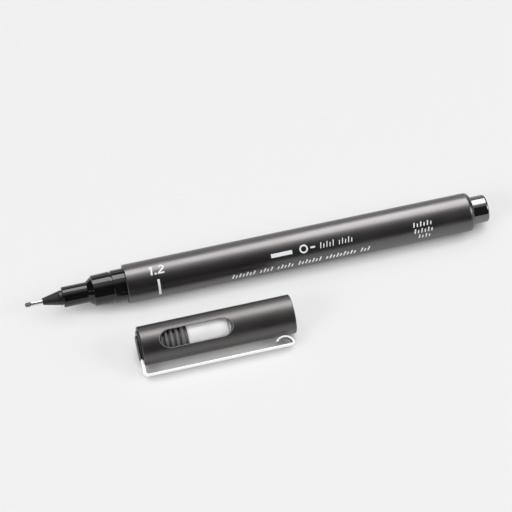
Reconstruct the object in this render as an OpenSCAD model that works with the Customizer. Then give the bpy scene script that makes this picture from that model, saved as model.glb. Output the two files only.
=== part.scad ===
// Fine-line technical pen, shown uncapped with its cap lying beside it.
// +X runs from the nib to the tail, +Z is up, and the surface both lie on is z = 0.
// The origin is the middle of the footprint of pen and cap together.

/* [Pen] */
// Outer diameter of the barrel, and of the cap
barrel_d = 10.2; // [9.8:0.1:11]
// Length of the barrel tube
barrel_l = 94; // [90:0.2:110]
// Radius of the rounded shoulder at the barrel's tail end
shoulder_r = 1.4; // [0.8:0.1:1.4]
// Diameter of the tail plug's visible head
tail_d = 7.3; // [6.8:0.1:7.6]
// How far the tail plug stands out of the barrel
tail_out = 4.2; // [3:0.1:7]

/* [Front] */
// Length of nib showing ahead of its steel sleeve
nib_l = 1.65; // [1.4:0.05:2]
// Diameter of the nib's rounded head
nib_d = 1.15; // [1:0.05:1.2]
// Length of steel sleeve showing ahead of the cone
sleeve_l = 3; // [2:0.1:4]
// Outer diameter of the steel sleeve
sleeve_d = 1.1; // [1:0.05:1.2]
// Length of the cone that holds the sleeve
cone_l = 4.25; // [3.5:0.05:5]
// Length of the collar behind the cone
collar_l = 1.05; // [0.8:0.05:1.4]
// Diameter of the neck that seals inside the cap
neck_d = 5.4; // [5.2:0.1:5.6]
// Length of that neck
neck_l = 6.5; // [6:0.1:7]
// Length of the sloping step from the neck to the grip
step_l = 1.45; // [1:0.05:2]
// Diameter of the grip just behind the step
grip_d = 8.1; // [7.9:0.1:8.3]
// Diameter of the raised band that snaps into the cap
band_d = 8.6; // [8.4:0.1:8.7]
// Length of the grip, from the step to the barrel
grip_l = 8.7; // [8.4:0.1:9.2]

/* [Cap] */
// Length of the cap shell
cap_l = 40.25; // [39:0.25:44]
// Distance between the axes of the pen and of the cap lying beside it
cap_gap = 19.8; // [18:0.1:30]
// Distance from the nib's tip back to the closed end of the cap, along X
cap_back = 25.95; // [20:0.05:60]
// Distance from the closed end to the window
window_from = 4.7; // [4.6:0.1:5.6]
// Length of the window
window_l = 19.4; // [18:0.1:20.5]
// Width of the window
window_w = 5; // [4:0.1:5.4]
// How far the window's sloping rim widens at its two ends
window_rim = 0.5; // [0.2:0.05:0.6]
// Number of ribs on the crown's stem, seen through the window
rib_count = 5; // [3:1:6]

/* [Clip] */
// Width of the clip's steel strip
clip_w = 3.2; // [2.6:0.1:3.6]
// Thickness of the strip
clip_t = 0.5; // [0.4:0.05:0.6]
// Gap between the strip's straight run and the cap
clip_gap = 2.35; // [2.1:0.05:2.6]
// Outer radius of the arch at the clip's free end
arch_r = 2.7; // [2.5:0.1:2.9]

/* [Hidden] */
$fn = 96;

// running fit between two pieces that slide or are pushed together
fit = 0.03;
barrel_r = barrel_d / 2;

// stations along the pen, counted from the nib's tip
cone_x = nib_l + sleeve_l;
collar_x = cone_x + cone_l;
neck_x = collar_x + collar_l;
step_x = neck_x + neck_l;
grip_x = step_x + step_l;
band_l = 3.4;
groove_w = 0.45;
band_x = grip_x + grip_l - band_l;
barrel_x = grip_x + grip_l;
barrel_end = barrel_x + barrel_l;
pen_l = barrel_end + tail_out;

// bores and the pieces inside them
barrel_bore = 4.28;
tail_bore = tail_d / 2 + fit;
tail_bore_l = 9;
spigot_l = 7;
holder_bore = 1.5;
holder_l = 7;
chamber_bore = 3.3;
sleeve_seat = 3.5;
rod_r = 0.36;
wick_r = 1.15;
wick_x = grip_x + 1.5;
wick_l = 26;
reservoir_x = barrel_x + spigot_l + 2.6;
plug_inside = tail_bore_l + 2;
plug_gap = 0.4;
reservoir_l = barrel_end - plug_inside - plug_gap - reservoir_x;
reservoir_r = 3.5;
film_t = 0.12;
fin_count = 6;
fin_w = 0.8;

// cap, with stations counted from its closed end
mouth_bore = 4.45;
mouth_l = 9.65;
shell_bore = 4.15;
end_wall = 1.1;
seal_bore = neck_d / 2 + 0.05;
seal_mouth = cap_l - mouth_l;
inner_x = 12.35;
inner_r = 3.65;
inner_wall = 0.8;
waist_x = 23.1;
waist_r = 3.2;
flange_x = 25.1;
crown_r = 4.1;
crown_t = 0.3;
stem_hole = 2.2;
stem_r = 3.9;
rib_x = 4.55;
rib_end = 11.75;
rib_depth = 0.75;
rib_pitch = (rib_end - rib_x) / rib_count;

// clip, with radii counted from the cap's axis
clip_in = barrel_r + clip_gap;
clip_out = clip_in + clip_t;
root_r = 1.6;
split_r = barrel_r + 0.25;
split_gap = 0.1;
bend_r = 1.3;
touch_gap = 0.06;
turn_r = (clip_out - barrel_r - touch_gap) * 0.26;
arch_y = barrel_r + touch_gap + arch_r;
turn_y = clip_out - turn_r;
end_gap = 1.1;
turn_x = cap_l - end_gap - turn_r;
arch_x = turn_x - sqrt(pow(arch_r - turn_r, 2) - pow(arch_y - turn_y, 2));
join_a = atan2(turn_y - arch_y, turn_x - arch_x);
arch_end_a = -141;
boss_w = clip_w + 1.2;
boss_t = clip_t + 0.25;

// the cap rolls until both its shell and the clip's corner rest on the surface
clip_reach = sqrt(pow(clip_out, 2) + pow(clip_w / 2, 2));
cap_roll = asin(barrel_r / clip_reach) - atan2(clip_w / 2, clip_out);
cap_front = clip_out * cos(cap_roll) + clip_w / 2 * sin(cap_roll);

// places of the pen and the cap in the shared frame
tip_x = -pen_l / 2;
pen_y = (cap_gap + cap_front - barrel_r) / 2;
cap_y = pen_y - cap_gap;
cap_x = tip_x + cap_back;

// lays something that stands on the origin along +X, on the pen's axis
module on_pen(x = 0) {
    translate([tip_x + x, pen_y, barrel_r]) rotate([0, 90, 0]) children();
}

// the same on the cap's axis, for round pieces
module on_cap(x = 0) {
    translate([cap_x + x, cap_y, barrel_r]) rotate([0, 90, 0]) children();
}

// cap frame for pieces with a direction: the window looks along +Z and the clip along -Y
module cap_frame() {
    translate([cap_x, cap_y, barrel_r]) rotate([cap_roll, 0, 0]) children();
}

module bore(r, x0, x1) {
    translate([0, 0, x0]) cylinder(r = r, h = x1 - x0);
}

// barrel tube with a rounded tail shoulder and fins that centre the reservoir
module barrel() {
    edge = 0.15;
    inner_end = barrel_l - tail_bore_l;
    color("dimgray") on_pen(barrel_x) {
        difference() {
            union() {
                bore(barrel_r, edge, barrel_l - shoulder_r);
                cylinder(r1 = barrel_r - edge, r2 = barrel_r, h = edge);
                translate([0, 0, barrel_l - shoulder_r]) rounded_end(barrel_r, shoulder_r);
            }
            bore(barrel_bore, -1, inner_end);
            bore(tail_bore, inner_end - 1, barrel_l + 1);
        }
        for (i = [0 : fin_count - 1]) rotate([0, 0, i * 360 / fin_count])
            translate([reservoir_r + film_t + fit, -fin_w / 2, reservoir_x - barrel_x])
                cube([barrel_bore - reservoir_r - film_t, fin_w, reservoir_l]);
    }
}

// disc of radius r and height e whose far edge is rounded by e
module rounded_end(r, e) {
    rotate_extrude() union() {
        square([r - e, e]);
        intersection() {
            translate([r - e, 0]) circle(r = e);
            translate([r - e, 0]) square([e, e]);
        }
    }
}

// grip moulding: neck, sloping step, grip, groove, snap band and the spigot in the barrel
module front_section() {
    edge = 0.12;
    neck_r = neck_d / 2;
    grip_r = grip_d / 2;
    band_r = band_d / 2;
    color("black") on_pen() difference() {
        rotate_extrude() polygon([
            [0.5, neck_x], [neck_r - edge, neck_x], [neck_r, neck_x + edge], [neck_r, step_x],
            [grip_r - 0.3, grip_x], [grip_r, grip_x + edge],
            [band_r - 0.12, band_x - groove_w], [grip_r - 0.1, band_x - groove_w],
            [grip_r - 0.1, band_x], [band_r - 0.1, band_x], [band_r, band_x + 0.1],
            [band_r, barrel_x], [barrel_bore - fit, barrel_x],
            [barrel_bore - fit, barrel_x + spigot_l - 0.4],
            [barrel_bore - 0.4, barrel_x + spigot_l], [0.5, barrel_x + spigot_l]]);
        bore(holder_bore, neck_x - 1, grip_x);
        bore(chamber_bore, grip_x, barrel_x + spigot_l + 1);
    }
}

// cone and collar that carry the steel sleeve, with a shank inside the neck
module nib_holder() {
    front_r = 0.92;
    rear_r = 1.82;
    collar_r = 1.95;
    lip = 0.2;
    color("black") on_pen() difference() {
        rotate_extrude() polygon([
            [0, cone_x], [front_r - 0.1, cone_x], [front_r, cone_x + 0.1],
            [rear_r, collar_x - 0.1], [rear_r - 0.15, collar_x], [collar_r - 0.1, collar_x + 0.1],
            [collar_r, collar_x + lip], [collar_r, neck_x], [holder_bore - fit, neck_x],
            [holder_bore - fit, neck_x + holder_l], [0, neck_x + holder_l]]);
        bore(sleeve_d / 2 + fit / 2, cone_x - 1, cone_x + sleeve_seat);
        bore(rod_r + fit, cone_x, neck_x + holder_l + 1);
    }
}

// drawn steel tube round the nib
module nib_sleeve() {
    roll = 0.1;
    sleeve_r = sleeve_d / 2;
    color("silver") on_pen() difference() {
        union() {
            bore(sleeve_r, nib_l + roll, cone_x + sleeve_seat);
            translate([0, 0, nib_l]) cylinder(r1 = sleeve_r - roll, r2 = sleeve_r, h = roll);
        }
        bore(rod_r + fit, nib_l - 1, cone_x + sleeve_seat + 1);
    }
}

// plastic-bound fibre nib: rounded head, and a rod that runs back into the wick
module fibre_nib() {
    head_r = nib_d / 2;
    color("gray") on_pen() union() {
        translate([0, 0, head_r]) sphere(r = head_r);
        bore(head_r, head_r, nib_l - 0.3);
        translate([0, 0, nib_l - 0.3]) cylinder(r1 = head_r, r2 = rod_r, h = 0.3 - fit);
        bore(rod_r, nib_l - 2 * fit, wick_x + 3);
    }
}

// soft rod that carries ink from the reservoir to the nib
module relay_wick() {
    color("slategray") on_pen() difference() {
        bore(wick_r, wick_x, wick_x + wick_l);
        bore(rod_r, wick_x - 1, wick_x + 3);
    }
}

// fibre cartridge that holds the ink
module ink_reservoir() {
    color("dimgray") on_pen() difference() {
        bore(reservoir_r, reservoir_x, reservoir_x + reservoir_l);
        bore(wick_r, reservoir_x - 1, wick_x + wick_l);
    }
}

// film wrapped round the cartridge
module reservoir_film() {
    color("lightgray") on_pen() difference() {
        bore(reservoir_r + film_t, reservoir_x, reservoir_x + reservoir_l);
        bore(reservoir_r, reservoir_x - 1, reservoir_x + reservoir_l + 1);
    }
}

// plug pressed into the tail, hollow from inside, with a rounded head
module tail_plug() {
    head_edge = 0.55;
    flange = barrel_bore - fit;
    wall = 1.2;
    color("black") on_pen(barrel_end) difference() {
        union() {
            bore(tail_d / 2, -tail_bore_l, tail_out - head_edge);
            translate([0, 0, tail_out - head_edge]) rounded_end(tail_d / 2, head_edge);
            bore(flange, -plug_inside, -tail_bore_l);
        }
        bore(tail_d / 2 - wall, -plug_inside - 1, tail_out - wall);
    }
}

// cap shell: end wall, stepped bore and the long round-ended window
module cap_shell() {
    edge = 0.15;
    color("dimgray") {
        difference() {
            on_cap() union() {
                cylinder(r1 = barrel_r - edge, r2 = barrel_r, h = edge);
                bore(barrel_r, edge, cap_l - edge);
                translate([0, 0, cap_l - edge])
                    cylinder(r1 = barrel_r, r2 = barrel_r - edge, h = edge);
            }
            on_cap() bore(stem_hole + fit, -1, end_wall + 1);
            on_cap() bore(shell_bore, end_wall, seal_mouth + 1);
            on_cap() bore(mouth_bore, seal_mouth, cap_l + 1);
            cap_frame() window_cut();
        }
    }
}

// round-ended opening through one wall of the shell, with a rim that slopes outwards
module window_cut() {
    end_r = window_w / 2 - 0.1;
    x0 = window_from + end_r + window_rim;
    x1 = window_from + window_l - end_r - window_rim;
    rim_z = 4.25;
    rim_h = barrel_r - rim_z;
    for (x = [x0, x1]) {
        translate([x, 0, 1]) cylinder(r = end_r, h = barrel_r + 1);
        translate([x, 0, rim_z]) cylinder(r1 = end_r, r2 = end_r + window_rim, h = rim_h);
    }
    translate([x0, -end_r, 1]) cube([x1 - x0, 2 * end_r, barrel_r + 1]);
    translate([x0, 0, rim_z]) rotate([90, 0, 90]) linear_extrude(height = x1 - x0)
        polygon([[-end_r, 0], [end_r, 0], [end_r + window_rim, rim_h], [-end_r - window_rim, rim_h]]);
}

// pale liner that closes round the neck and keeps the nib from drying
module inner_cap() {
    edge = 0.3;
    color("whitesmoke") on_cap() difference() {
        union() {
            translate([0, 0, inner_x])
                cylinder(r1 = inner_r - edge, r2 = inner_r, h = edge);
            bore(inner_r, inner_x + edge, waist_x - edge);
            translate([0, 0, waist_x - edge]) cylinder(r1 = inner_r, r2 = waist_r, h = edge);
            bore(waist_r, waist_x - edge, flange_x);
            bore(shell_bore - fit, flange_x, seal_mouth);
        }
        bore(seal_bore, inner_x + inner_wall, seal_mouth + 1);
    }
}

// crown: domed head over the clip's root, and a ribbed stem that backs the liner
module crown_plug() {
    color("black") {
        difference() {
            union() {
                on_cap() bore(crown_r, -crown_t, 0);
                cap_frame() clip_boss();
                on_cap() bore(stem_hole, -0.1, end_wall + 0.2);
            }
            cap_frame() translate([-clip_t - fit, -barrel_r - 1, -clip_w / 2 - fit])
                cube([clip_t + fit, barrel_r + 1 - root_r + fit, clip_w + 2 * fit]);
        }
        on_cap() bore(stem_r - rib_depth, end_wall, inner_x);
        for (i = [0 : rib_count - 1])
            on_cap(rib_x + (i + 0.5) * rib_pitch) rib();
        on_cap() bore(shell_bore - fit, end_wall, rib_x - 2.2);
    }
}

// raised pad of the crown that covers the clip where it enters the cap
module clip_boss() {
    x0 = -boss_t;
    top = 3.5;
    translate([x0, -top, -boss_w / 2]) cube([boss_t, top + 0.6, boss_w]);
    translate([x0, 0.6, 0]) rotate([0, 90, 0]) cylinder(r = boss_w / 2, h = boss_t);
}

// one ring rib with a rounded crest
module rib() {
    half = rib_pitch * 0.3;
    rotate_extrude() union() {
        translate([0, -half]) square([stem_r - half, 2 * half]);
        translate([stem_r - half, 0]) intersection() {
            circle(r = half);
            translate([0, -half]) square([half, 2 * half]);
        }
    }
}

// fixed root of the clip, held under the crown
module clip_tab() {
    color("silver") cap_frame()
        translate([-clip_t, -split_r, -clip_w / 2])
            cube([clip_t - fit / 2, split_r - root_r, clip_w]);
}

// springing part of the clip: leg, bend, straight run, turned end and arch
module clip_arm() {
    color("silver") cap_frame() rotate([180, 0, 0]) linear_extrude(height = clip_w, center = true)
        clip_profile();
}

// outline of the strip seen from its edge: x along the cap, y away from its axis
module clip_profile() {
    leg_y = split_r + split_gap;
    bend_y = clip_out - bend_r;
    bend_x = bend_r - clip_t;
    overlap = 0.02;
    translate([-clip_t, leg_y]) square([clip_t, bend_y - leg_y]);
    translate([bend_x, bend_y]) strip_arc(bend_r, 90, 181);
    translate([bend_x - overlap, clip_in]) square([turn_x - bend_x + 2 * overlap, clip_t]);
    translate([turn_x, turn_y]) strip_arc(turn_r, join_a, 90);
    translate([arch_x, arch_y]) strip_arc(arch_r, arch_end_a, join_a + 1);
}

// part of a ring one strip thick, from angle a0 to angle a1
module strip_arc(r, a0, a1) {
    reach = 2 * r;
    mid = (a0 + a1) / 2;
    intersection() {
        difference() {
            circle(r = r);
            circle(r = r - clip_t);
        }
        polygon([[0, 0], reach * [cos(a0), sin(a0)],
                 reach * 1.5 * [cos((a0 + mid) / 2), sin((a0 + mid) / 2)],
                 reach * 1.5 * [cos((a1 + mid) / 2), sin((a1 + mid) / 2)],
                 reach * [cos(a1), sin(a1)]]);
    }
}

barrel();
front_section();
nib_holder();
nib_sleeve();
fibre_nib();
relay_wick();
ink_reservoir();
reservoir_film();
tail_plug();
cap_shell();
inner_cap();
crown_plug();
clip_tab();
clip_arm();
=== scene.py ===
from math import asin, atan2, ceil, cos, hypot, pi, radians, sin, sqrt

import bmesh
import bpy
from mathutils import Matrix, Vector


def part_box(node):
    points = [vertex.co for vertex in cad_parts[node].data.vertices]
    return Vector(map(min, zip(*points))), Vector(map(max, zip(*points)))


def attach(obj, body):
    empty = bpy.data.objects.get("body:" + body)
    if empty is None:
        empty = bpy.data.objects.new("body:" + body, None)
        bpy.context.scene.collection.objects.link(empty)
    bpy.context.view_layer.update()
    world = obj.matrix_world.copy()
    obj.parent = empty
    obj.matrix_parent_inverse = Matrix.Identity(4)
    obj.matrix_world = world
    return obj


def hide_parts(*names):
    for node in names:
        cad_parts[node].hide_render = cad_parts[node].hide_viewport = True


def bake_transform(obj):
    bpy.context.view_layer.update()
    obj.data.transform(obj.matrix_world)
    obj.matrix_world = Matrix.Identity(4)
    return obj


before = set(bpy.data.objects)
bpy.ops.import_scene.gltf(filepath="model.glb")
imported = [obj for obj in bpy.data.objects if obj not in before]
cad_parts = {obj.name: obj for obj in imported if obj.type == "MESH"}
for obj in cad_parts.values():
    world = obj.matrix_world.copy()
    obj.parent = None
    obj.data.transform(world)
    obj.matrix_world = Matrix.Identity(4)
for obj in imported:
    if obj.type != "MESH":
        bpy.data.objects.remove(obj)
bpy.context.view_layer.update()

MM = 0.001
X_AXIS = Vector((1, 0, 0))


# ---------------------------------------------------------------- places, all from the frame

def middle(box):
    return (Vector(box[0]) + Vector(box[1])) / 2


barrel_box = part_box("barrel")
shell_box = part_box("cap_shell")
BARREL_R = (barrel_box[1][2] - barrel_box[0][2]) / 2
PEN_AXIS = Vector((0, middle(barrel_box).y, BARREL_R))
CAP_AXIS = Vector((shell_box[0][0], middle(shell_box).y, BARREL_R))
BARREL_FRONT = barrel_box[0][0]
CAP_LENGTH = shell_box[1][0] - shell_box[0][0]

# the steel strip of the clip: its size, and its distance from the cap's axis
CLIP_W = 3.2 * MM
CLIP_T = 0.5 * MM
CLIP_IN = BARREL_R + 2.35 * MM
CLIP_OUT = CLIP_IN + CLIP_T
CAP_ROLL = asin(BARREL_R / hypot(CLIP_OUT, CLIP_W / 2)) - atan2(CLIP_W / 2, CLIP_OUT)
CLIP_DIR = Vector((0, -cos(CAP_ROLL), -sin(CAP_ROLL)))
CLIP_SIDE = X_AXIS.cross(CLIP_DIR)


# ---------------------------------------------------------------- camera, light and floor

def make_camera():
    """A long lens that looks down on the pen from its nib side."""
    azimuth, elevation = radians(-14.519), radians(54.807)
    distance = 0.67
    target = Vector((-0.62, 11.394, 5.1)) * MM
    back = Vector((sin(azimuth) * cos(elevation), -cos(azimuth) * cos(elevation), sin(elevation)))
    data = bpy.data.cameras.new("camera")
    data.sensor_width = 36.0
    data.lens = 179.7
    data.clip_start = 0.01
    camera = bpy.data.objects.new("camera", data)
    camera.location = target + back * distance
    camera.rotation_euler = (-back).to_track_quat("-Z", "Y").to_euler()
    bpy.context.collection.objects.link(camera)
    bpy.context.scene.camera = camera


def softbox(name, place, target, size, power, color=(1, 1, 1), shines=True, mirrors=True):
    """A rectangular light; it can be left out of diffuse light or out of reflections."""
    data = bpy.data.lights.new(name, "AREA")
    data.shape = "RECTANGLE"
    data.size, data.size_y = size
    data.energy = power
    data.color = color
    light = bpy.data.objects.new(name, data)
    light.location = place
    light.rotation_euler = (Vector(target) - Vector(place)).to_track_quat("-Z", "Y").to_euler()
    light.visible_diffuse, light.visible_glossy = shines, mirrors
    bpy.context.collection.objects.link(light)


def make_world():
    """Plain studio surround: pale overhead, darker towards the horizon."""
    brightest_way = (0, 0.34, 0.94)
    dark_below, pale_above = 0.74, 0.95
    world = bpy.data.worlds.new("studio")
    world.use_nodes = True
    nodes, links = world.node_tree.nodes, world.node_tree.links
    background = nodes["Background"]
    coord = nodes.new("ShaderNodeTexCoord")
    towards = nodes.new("ShaderNodeVectorMath")
    towards.operation = "DOT_PRODUCT"
    towards.inputs[1].default_value = brightest_way
    ramp = nodes.new("ShaderNodeValToRGB")
    ramp.color_ramp.elements[0].position = dark_below
    ramp.color_ramp.elements[0].color = (0.02, 0.02, 0.021, 1)
    ramp.color_ramp.elements[1].position = pale_above
    ramp.color_ramp.elements[1].color = (0.95, 0.95, 0.95, 1)
    links.new(coord.outputs["Generated"], towards.inputs[0])
    links.new(towards.outputs["Value"], ramp.inputs[0])
    links.new(ramp.outputs[0], background.inputs["Color"])
    background.inputs["Strength"].default_value = 1.0
    bpy.context.scene.world = world


def make_floor():
    """Pale paper that glows a little, except close under and beside the object, where occlusion
    cuts the glow into a painted contact shadow.
    """
    half = 2.0
    painted_shadow_glow, open_glow = 0.08, 0.53
    shade_reach, shade_span = 5 * MM, (0.20, 0.70)
    mesh = bpy.data.meshes.new("floor")
    mesh.from_pydata([(-half, -half, 0), (half, -half, 0), (half, half, 0), (-half, half, 0)],
                     [], [(0, 1, 2, 3)])
    floor = bpy.data.objects.new("floor", mesh)
    bpy.context.collection.objects.link(floor)
    material, shader = new_material("floor_paper")
    shader.inputs["Base Color"].default_value = (0.38, 0.38, 0.38, 1)
    shader.inputs["Emission Color"].default_value = (1, 1, 1, 1)
    nodes, links = material.node_tree.nodes, material.node_tree.links
    # painted contact shadow: the glow drops where occlusion finds the object close by
    near = nodes.new("ShaderNodeAmbientOcclusion")
    near.inputs["Distance"].default_value = shade_reach
    links.new(spread(material, near.outputs["AO"], painted_shadow_glow, open_glow, shade_span),
              shader.inputs["Emission Strength"])
    shader.inputs["Roughness"].default_value = 0.9
    shader.inputs["Specular IOR Level"].default_value = 0.1
    mesh.materials.append(material)


def make_lights():
    """Soft light from overhead and both sides; key, rim and back only make reflections."""
    bpy.context.scene.view_settings.view_transform = "Standard"
    softbox("key", (0.15, 0.38, 0.69), (0, 0, 0), (0.60, 0.44), 4.2, (1, 0.975, 0.97),
            shines=False)
    softbox("sky", (0, 0.22, 0.85), (0, 0, 0), (0.9, 0.7), 2.4, mirrors=False)
    softbox("rim", (0.10, 0.20, 0.17), (0.06, 0.011, 0), (0.10, 0.08), 0.14, shines=False)
    softbox("back", (0, 1.0, 0.25), (0, 0, 0), (1.6, 0.3), 1.3, shines=False)
    softbox("side_left", (-0.85, -0.36, 0.60), (0, 0, 0), (0.5, 0.5), 4.9)
    softbox("side_right", (0.85, -0.36, 0.60), (0, 0, 0), (0.5, 0.5), 4.9)


# ---------------------------------------------------------------- materials

def new_material(name):
    material = bpy.data.materials.new(name)
    material.use_nodes = True
    return material, material.node_tree.nodes["Principled BSDF"]


def noise(material, scale, detail=3.0, rough=0.5, stretch=(1, 1, 1)):
    """Noise in object space; scale is in cycles per metre."""
    nodes, links = material.node_tree.nodes, material.node_tree.links
    coord = nodes.new("ShaderNodeTexCoord")
    mapping = nodes.new("ShaderNodeMapping")
    mapping.inputs["Scale"].default_value = stretch
    texture = nodes.new("ShaderNodeTexNoise")
    texture.inputs["Scale"].default_value = scale
    texture.inputs["Detail"].default_value = detail
    texture.inputs["Roughness"].default_value = rough
    links.new(coord.outputs["Object"], mapping.inputs["Vector"])
    links.new(mapping.outputs["Vector"], texture.inputs["Vector"])
    return texture.outputs["Fac"]


def spread(material, value, low, high, span=(0.3, 0.7)):
    """Maps a value, such as noise or an occlusion value for painted shade, onto the range low to
    high.
    """
    node = material.node_tree.nodes.new("ShaderNodeMapRange")
    node.inputs["From Min"].default_value = span[0]
    node.inputs["From Max"].default_value = span[1]
    node.inputs["To Min"].default_value = low
    node.inputs["To Max"].default_value = high
    material.node_tree.links.new(value, node.inputs["Value"])
    return node.outputs["Result"]


def two_tone(material, value, dark, light):
    """Turns a noise value into a colour between dark and light."""
    ramp = material.node_tree.nodes.new("ShaderNodeValToRGB")
    ramp.color_ramp.elements[0].position = 0.3
    ramp.color_ramp.elements[0].color = (*dark, 1)
    ramp.color_ramp.elements[1].position = 0.7
    ramp.color_ramp.elements[1].color = (*light, 1)
    material.node_tree.links.new(value, ramp.inputs[0])
    return ramp.outputs[0]


def bump(material, shader, height, distance, strength):
    """Gives a shader a fine relief; distance is the relief's depth in metres."""
    node = material.node_tree.nodes.new("ShaderNodeBump")
    node.inputs["Distance"].default_value = distance
    node.inputs["Strength"].default_value = strength
    material.node_tree.links.new(height, node.inputs["Height"])
    material.node_tree.links.new(node.outputs["Normal"], shader.inputs["Normal"])


def surface(name, dark, light, rough, patch=120, grain=5000, depth=0.000004, strength=0.3,
            stretch=(1, 1, 1), metallic=0.0, specular=0.5, ior=1.5, glow=0.0,
            tint=(1, 1, 1)):
    """A moulded or drawn surface: slow colour and gloss changes, and a fine grain in relief."""
    material, shader = new_material(name)
    links = material.node_tree.links
    slow = noise(material, patch, 4.0)
    fine = noise(material, grain, 2.0, 0.6, stretch)
    links.new(two_tone(material, slow, dark, light), shader.inputs["Base Color"])
    links.new(spread(material, slow, rough[0], rough[1]), shader.inputs["Roughness"])
    shader.inputs["Metallic"].default_value = metallic
    shader.inputs["Specular IOR Level"].default_value = specular
    shader.inputs["IOR"].default_value = ior
    shader.inputs["Specular Tint"].default_value = (*tint, 1)
    # glow: emission, used as painted light on some surfaces
    shader.inputs["Emission Color"].default_value = (1, 1, 1, 1)
    shader.inputs["Emission Strength"].default_value = glow
    bump(material, shader, fine, depth, strength)
    return material


def make_materials():
    """One finish for each kind of surface, some with painted light or a painted highlight in
    their colour or glow; along draws its grain out lengthwise.
    """
    along = (0.05, 1, 1)
    return {
        "barrel": surface("barrel_satin", (0.0055, 0.0048, 0.0055), (0.009, 0.008, 0.009),
                          (0.32, 0.37), grain=7000, depth=0.000003, strength=0.35,
                          specular=1.0, ior=1.66, tint=(1, 0.96, 0.968)),
        "cap": surface("cap_satin", (0.0055, 0.0052, 0.005), (0.010, 0.0095, 0.009),
                       (0.36, 0.42), patch=160, grain=7000, depth=0.000003, strength=0.35,
                       specular=1.0, ior=1.6, tint=(1, 0.965, 0.95)),
        "gloss": surface("gloss_black", (0.004, 0.004, 0.005), (0.008, 0.008, 0.009),
                         (0.05, 0.09), patch=300, grain=2500, depth=0.000002, strength=0.2),
        "tail": surface("tail_gloss", (0.008, 0.008, 0.009), (0.012, 0.012, 0.013),
                        (0.04, 0.07), patch=300, grain=2500, depth=0.000002, strength=0.2,
                        specular=1.0, ior=1.8),
        "satin": surface("satin_black", (0.012, 0.012, 0.013), (0.020, 0.020, 0.021),
                         (0.26, 0.36), patch=300, grain=6000),
        # grey: the black plug painted lighter, as painted light on its ribs; darken_crown sets
        # its outer face back to black
        "ribbed": surface("ribbed_satin_painted_lit", (0.15, 0.145, 0.145), (0.19, 0.185, 0.185),
                          (0.38, 0.46), patch=300, grain=6000, depth=0.000002, strength=0.2),
        # light grey: a painted highlight along the window's rim on the black cap
        "edge": surface("painted_rim_highlight", (0.24, 0.24, 0.236), (0.32, 0.32, 0.316), (0.22, 0.30),
                        patch=600, grain=9000, depth=0.000002),
        "steel": surface("drawn_steel", (0.58, 0.57, 0.57), (0.70, 0.69, 0.69), (0.26, 0.36),
                         patch=900, grain=9000, stretch=along, metallic=1.0),
        # glow: painted light that brightens the steel strip; occlusion later turns it into
        # painted shade inside the arch
        "clip": surface("rolled_steel_painted_glow", (0.90, 0.86, 0.86), (0.97, 0.93, 0.93), (0.30, 0.40),
                        patch=250, grain=9000, depth=0.000002, stretch=along, metallic=0.35,
                        glow=0.28),
        "fibre": surface("ink_fibre", (0.05, 0.05, 0.052), (0.20, 0.20, 0.20), (0.55, 0.8),
                         patch=4000, grain=12000, depth=0.00002, strength=0.7,
                         stretch=(0.3, 1, 1)),
        "film": surface("clear_film", (0.55, 0.55, 0.53), (0.65, 0.65, 0.63), (0.2, 0.3)),
        # glow: painted light on the pale liner, which sits in the shade of the window
        "liner": surface("pale_liner_painted_glow", (0.82, 0.82, 0.83), (0.90, 0.90, 0.91), (0.16, 0.22),
                         patch=200, grain=3000, depth=0.000002, strength=0.15, glow=0.07),
        # glow: painted light that brightens the white print where the barrel's front side is
        # shaded
        "ink": surface("white_print_painted_glow", (0.72, 0.72, 0.74), (0.90, 0.90, 0.92), (0.45, 0.6),
                       patch=2500, grain=9000, glow=0.12),
    }


def paint_inner_shade(material, reach, glow):
    """Paints shade on a bright surface where its own other side closes round it: occlusion
    darkens its colour and dims its painted glow there.
    """
    shade_span = (0.45, 0.85)
    nodes, links = material.node_tree.nodes, material.node_tree.links
    shader = nodes["Principled BSDF"]
    near = nodes.new("ShaderNodeAmbientOcclusion")
    near.only_local = True
    near.inputs["Distance"].default_value = reach
    # painted shade: colour and glow drop where the surface closes round itself
    links.new(shader.inputs["Base Color"].links[0].from_socket, near.inputs["Color"])
    links.new(near.outputs["Color"], shader.inputs["Base Color"])
    links.new(spread(material, near.outputs["AO"], 0.0, glow, shade_span),
              shader.inputs["Emission Strength"])


def darken_crown(material):
    """Makes the crown's outer face black, the plug's own colour, while its stem, inside the cap,
    stays grey: painted light on the ribs seen through the window.
    """
    black_share = 0.06
    wall = (CAP_AXIS.x + 0.4 * MM, CAP_AXIS.x + 1.0 * MM)
    nodes, links = material.node_tree.nodes, material.node_tree.links
    shader = nodes["Principled BSDF"]
    grey = shader.inputs["Base Color"].links[0].from_socket
    coord = nodes.new("ShaderNodeTexCoord")
    split = nodes.new("ShaderNodeSeparateXYZ")
    links.new(coord.outputs["Object"], split.inputs[0])
    scale = nodes.new("ShaderNodeVectorMath")
    scale.operation = "SCALE"
    links.new(grey, scale.inputs[0])
    links.new(spread(material, split.outputs["X"], black_share, 1.0, wall), scale.inputs["Scale"])
    links.new(scale.outputs[0], shader.inputs["Base Color"])


def dress(node, material):
    """Gives a carried-over CAD node its finish."""
    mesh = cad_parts[node].data
    mesh.materials.clear()
    mesh.materials.append(material)


# ---------------------------------------------------------------- mesh helpers

def new_piece(name, bm, material, body=None, smooth=True):
    """Turns a mesh under construction into a named piece, carried by a body if one is given."""
    bmesh.ops.remove_doubles(bm, verts=bm.verts, dist=1e-8)
    bmesh.ops.recalc_face_normals(bm, faces=bm.faces)
    mesh = bpy.data.meshes.new(name)
    bm.to_mesh(mesh)
    bm.free()
    for face in mesh.polygons:
        face.use_smooth = smooth
    mesh.materials.append(material)
    piece = bpy.data.objects.new(name, mesh)
    bpy.context.collection.objects.link(piece)
    if body:
        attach(piece, body)
    return piece


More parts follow.
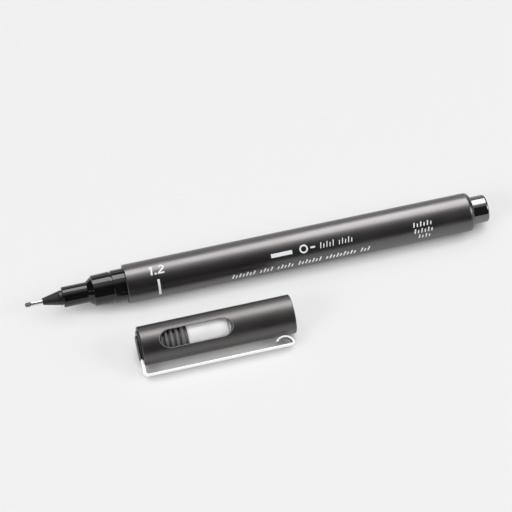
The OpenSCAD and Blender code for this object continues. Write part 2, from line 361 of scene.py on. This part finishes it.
def skin(bm, rings, closed=False):
    """Joins rings of vertices into a tube; an open one gets a face at each end."""
    count = len(rings[0])
    nexts = rings[1:] + rings[:1] if closed else rings[1:]
    for a, b in zip(rings, nexts):
        for k in range(count):
            bm.faces.new((a[k], a[(k + 1) % count], b[(k + 1) % count], b[k]))
    if not closed:
        bm.faces.new(rings[0][::-1])
        bm.faces.new(rings[-1])


def arc_points(centre, radius, start, end, step=radians(5)):
    """Points on an arc in a plane, as (x, y) pairs, both ends included."""
    count = max(2, ceil(abs(end - start) / step))
    angles = [start + (end - start) * i / count for i in range(count + 1)]
    return [(centre[0] + radius * cos(a), centre[1] + radius * sin(a)) for a in angles]


# ---------------------------------------------------------------- clip

def clip_path():
    """Middle line of the strip as (distance along the cap, distance from its axis)."""
    half = CLIP_T / 2
    bend_r = 1.3 * MM
    arch_r = 2.7 * MM
    touch_gap, end_gap = 0.06 * MM, 1.1 * MM
    turn_r = (CLIP_OUT - BARREL_R - touch_gap) * 0.26
    arch_y = BARREL_R + touch_gap + arch_r
    turn_x, turn_y = CAP_LENGTH - end_gap - turn_r, CLIP_OUT - turn_r
    arch_x = turn_x - sqrt((arch_r - turn_r) ** 2 - (arch_y - turn_y) ** 2)
    join = atan2(turn_y - arch_y, turn_x - arch_x)
    root, root_step, root_count = 1.7 * MM, 0.3 * MM, 16
    run_count, free_end = 40, radians(-141)
    points = [(-half, root + i * root_step) for i in range(root_count)]
    points += arc_points((bend_r - CLIP_T, CLIP_OUT - bend_r), bend_r - half, pi, pi / 2)
    run_from, run_to = bend_r - CLIP_T, turn_x
    points += [(run_from + (run_to - run_from) * i / run_count, CLIP_OUT - half)
               for i in range(1, run_count)]
    points += arc_points((turn_x, turn_y), turn_r - half, pi / 2, join, radians(12))
    points += arc_points((arch_x, arch_y), arch_r - half, join, free_end)[1:]
    return points


def strip_section(edge):
    """Cross-section of the strip: a rectangle with rounded edges, as (side, out) pairs."""
    half_w, half_t = CLIP_W / 2 - edge, CLIP_T / 2 - edge
    corners = [(half_w, half_t, 0), (-half_w, half_t, pi / 2),
               (-half_w, -half_t, pi), (half_w, -half_t, 3 * pi / 2)]
    ring = []
    for side, out, angle in corners:
        ring += arc_points((side, out), edge, angle, angle + pi / 2, radians(30))
    return ring


def make_clip(material):
    """The whole strip in one piece; it bends at the root, where tab and arm meet."""
    edge, hinge_out, bend_reach = 0.12 * MM, 5.0 * MM, 0.5 * MM
    path = clip_path()
    section = strip_section(edge)
    bm = bmesh.new()
    rings = []
    for i, (along, off) in enumerate(path):
        before, after = path[max(i - 1, 0)], path[min(i + 1, len(path) - 1)]
        step = Vector((after[0] - before[0], after[1] - before[1])).normalized()
        centre = CAP_AXIS + X_AXIS * along + CLIP_DIR * off
        outward = X_AXIS * -step.y + CLIP_DIR * step.x
        rings.append([bm.verts.new(centre + CLIP_SIDE * s + outward * o) for s, o in section])
    skin(bm, rings)
    clip = new_piece("clip_strip", bm, material)
    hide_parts("clip_tab", "clip_arm")
    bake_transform(clip)


# ---------------------------------------------------------------- printed marks

def on_barrel(along, round_, lift):
    """A point near the barrel: along from its front, round from its front side upwards."""
    angle = round_ / BARREL_R
    radius = BARREL_R + lift
    out = Vector((0, -cos(angle), sin(angle)))
    return PEN_AXIS + X_AXIS * (BARREL_FRONT + along) + out * radius


def fine_line(points, step=0.25 * MM):
    """The same line with its stretches cut into short steps, so that it can curve."""
    fine = [points[0]]
    for a, b in zip(points, points[1:]):
        count = max(1, ceil((b - a).length / step))
        fine += [a.lerp(b, i / count) for i in range(1, count + 1)]
    return fine


def slab_section(width, lane=0.3 * MM):
    """Outline of a slab of ink as (share of its width, lift), in lanes so that it can curve."""
    thick, sink = 0.012 * MM, -0.006 * MM
    count = ceil(width / lane)
    shares = [k / count - 0.5 for k in range(count + 1)]
    return [(share, sink) for share in shares] + [(share, thick) for share in shares[::-1]]


def ribbon(bm, points, width):
    """A thin closed slab of ink that follows a line drawn on the barrel, in metres."""
    points = fine_line([Vector(p) for p in points])
    section = slab_section(width)
    sharpest = 0.6
    closed = (points[0] - points[-1]).length < 0.001 * MM
    if closed:
        points.pop()
    rings = []
    for i, point in enumerate(points):
        after = points[(i + 1) % len(points)]
        came = (point - points[i - 1]).normalized() if closed or i else None
        goes = (after - point).normalized() if closed or i + 1 < len(points) else None
        came, goes = came or goes, goes or came
        along = (came + goes).normalized()
        side = Vector((-along.y, along.x))
        mitre = 1 / max(sharpest, along.dot(goes))
        across = side * width * mitre
        rings.append([bm.verts.new(on_barrel(*(point + across * share), lift))
                      for share, lift in section])
    skin(bm, rings, closed)


def size_numerals(bm):
    """The nib's width, 1.2, and the short line round the barrel under it."""
    left, foot, top, slant = 5.95, 5.78, 2.45, 0.12
    width = 0.42 * MM

    def at(x, y):
        return (left + x + y * slant) * MM, (foot + y) * MM

    # the one: its flag and its stem
    ribbon(bm, [at(0.1, top - 0.62), at(0.8, top - 0.2)], width)
    ribbon(bm, [at(0.8, 0), at(0.8, top)], width * 1.1)
    # the point
    ribbon(bm, [at(1.85, 0), at(1.85, 0.45)], width * 1.2)
    # the two: its bowl and slope in one stroke, and its foot
    bowl = arc_points((3.35, top - 0.78), 0.57, radians(165), radians(-35), radians(20))
    ribbon(bm, [at(x, y) for x, y in bowl + [(2.62, 0.28)]], width)
    ribbon(bm, [at(2.42, 0.21), at(4.15, 0.21)], width)
    # the short line round the barrel
    stripe_x, stripe_from, stripe_to, stripe_w = 8.2 * MM, -0.45 * MM, 4.45 * MM, 0.62 * MM
    ribbon(bm, [(stripe_x, stripe_from), (stripe_x, stripe_to)], stripe_w)


def dashes(bm, start, foot, height, pattern, width, lean=0.0):
    """A row of plain dashes, tall and short; the pattern holds the gap after each one."""
    short_share = 0.72
    along = start
    for i, gap in enumerate(pattern):
        rise = height * (1.0 if i % 2 == 0 else short_share)
        ribbon(bm, [(along, foot), (along + lean * rise, foot + rise)], width)
        along += gap


def word_gaps(words, pitch):
    """Gaps between dashes: one pitch inside a group and two between groups."""
    return [pitch * (2 if k == count - 1 else 1) for count in words for k in range(count)]


def plain_badge(bm):
    """A heavy bar, an open ring and a row of fine dashes, in place of any name."""
    foot, bar_line, middle_line = 3.55 * MM, 4.17 * MM, 4.30 * MM
    ribbon(bm, [(38.3 * MM, bar_line), (44.0 * MM, bar_line)], 1.05 * MM)
    ring = arc_points((47.1 * MM, middle_line), 0.95 * MM, 0, 2 * pi, radians(18))
    ribbon(bm, ring, 0.42 * MM)
    ribbon(bm, [(48.9 * MM, middle_line), (50.2 * MM, middle_line)], 0.45 * MM)
    dashes(bm, 51.6 * MM, foot, 1.55 * MM, word_gaps([5, 5], 0.84 * MM), 0.24 * MM, 0.18)


def dash_lines(bm):
    """The long line of dashes under the badge, and three short lines near the tail."""
    dashes(bm, 27.5 * MM, -0.4 * MM, 1.45 * MM, word_gaps([7, 4, 5, 7, 9, 3], 0.94 * MM),
           0.40 * MM, 0.35)
    for start, foot, count in ((77.0, 3.75, 6), (77.1, 1.95, 6), (78.2, 0.15, 4)):
        dashes(bm, start * MM, foot * MM, 1.25 * MM, [0.92 * MM] * count, 0.32 * MM, 0.2)


def make_prints(material):
    """The three groups of marks, each a piece of its own."""
    groups = (("print_size", size_numerals), ("print_badge", plain_badge),
              ("print_dashes", dash_lines))
    for name, draw in groups:
        bm = bmesh.new()
        draw(bm)
        new_piece(name, bm, material, "pen", smooth=False)


# ---------------------------------------------------------------- window edge

def window_outline():
    """The window's edge, once round, as (distance along the cap, distance across).

    Its round ends are centred on first and last, and reach out a rim further than half.
    """
    first, last = 7.6 * MM, 21.2 * MM
    half, rim = 2.46 * MM, 0.42 * MM
    tip = arc_points((0, 0), 1, -pi / 2, pi / 2, radians(6))
    points = [(last + (half + rim * x * x) * x, half * y) for x, y in tip]
    points += [(first - (half + rim * x * x) * x, -half * y) for x, y in tip]
    return points


def make_window_edge(material):
    """A fine rounded bead sunk into the edge of the window, in light grey on the black cap: a
    painted highlight along the rim.
    """
    up, across = -CLIP_SIDE, -CLIP_DIR
    bead_r, depth, sides = 0.078 * MM, 0.08 * MM, 8
    turns = [2 * pi * k / sides for k in range(sides)]
    points = fine_line([Vector(p) for p in window_outline()], 0.5 * MM)
    bm = bmesh.new()
    rings = []
    for i, point in enumerate(points):
        step = points[(i + 1) % len(points)] - points[i - 1]
        angle = asin(point.y / BARREL_R)
        normal = up * cos(angle) + across * sin(angle)
        flow = (X_AXIS * step.x + (across * cos(angle) - up * sin(angle)) * step.y).normalized()
        side = flow.cross(normal)
        centre = CAP_AXIS + X_AXIS * point.x + normal * (BARREL_R - depth)
        rings.append([bm.verts.new(centre + (normal * cos(t) + side * sin(t)) * bead_r)
                      for t in turns])
    skin(bm, rings, closed=True)
    new_piece("window_edge", bm, material, "cap")


# ---------------------------------------------------------------- put together

def dress_nodes(materials):
    """Gives each CAD node that stays in view its finish."""
    finishes = {
        "barrel": ["barrel"],
        "cap": ["cap_shell"],
        "gloss": ["front_section"],
        "tail": ["tail_plug"],
        "satin": ["nib_holder"],
        "ribbed": ["crown_plug"],
        "steel": ["nib_sleeve"],
        "fibre": ["fibre_nib", "relay_wick", "ink_reservoir"],
        "film": ["reservoir_film"],
        "liner": ["inner_cap"],
    }
    for name, nodes in finishes.items():
        for node in nodes:
            dress(node, materials[name])


make_camera()
make_world()
make_floor()
make_lights()
materials = make_materials()
darken_crown(materials["ribbed"])
# painted glow on the clip, with painted shade inside its arch
paint_inner_shade(materials["clip"], 6 * MM, 0.30)
dress_nodes(materials)
make_clip(materials["clip"])
make_prints(materials["ink"])
make_window_edge(materials["edge"])
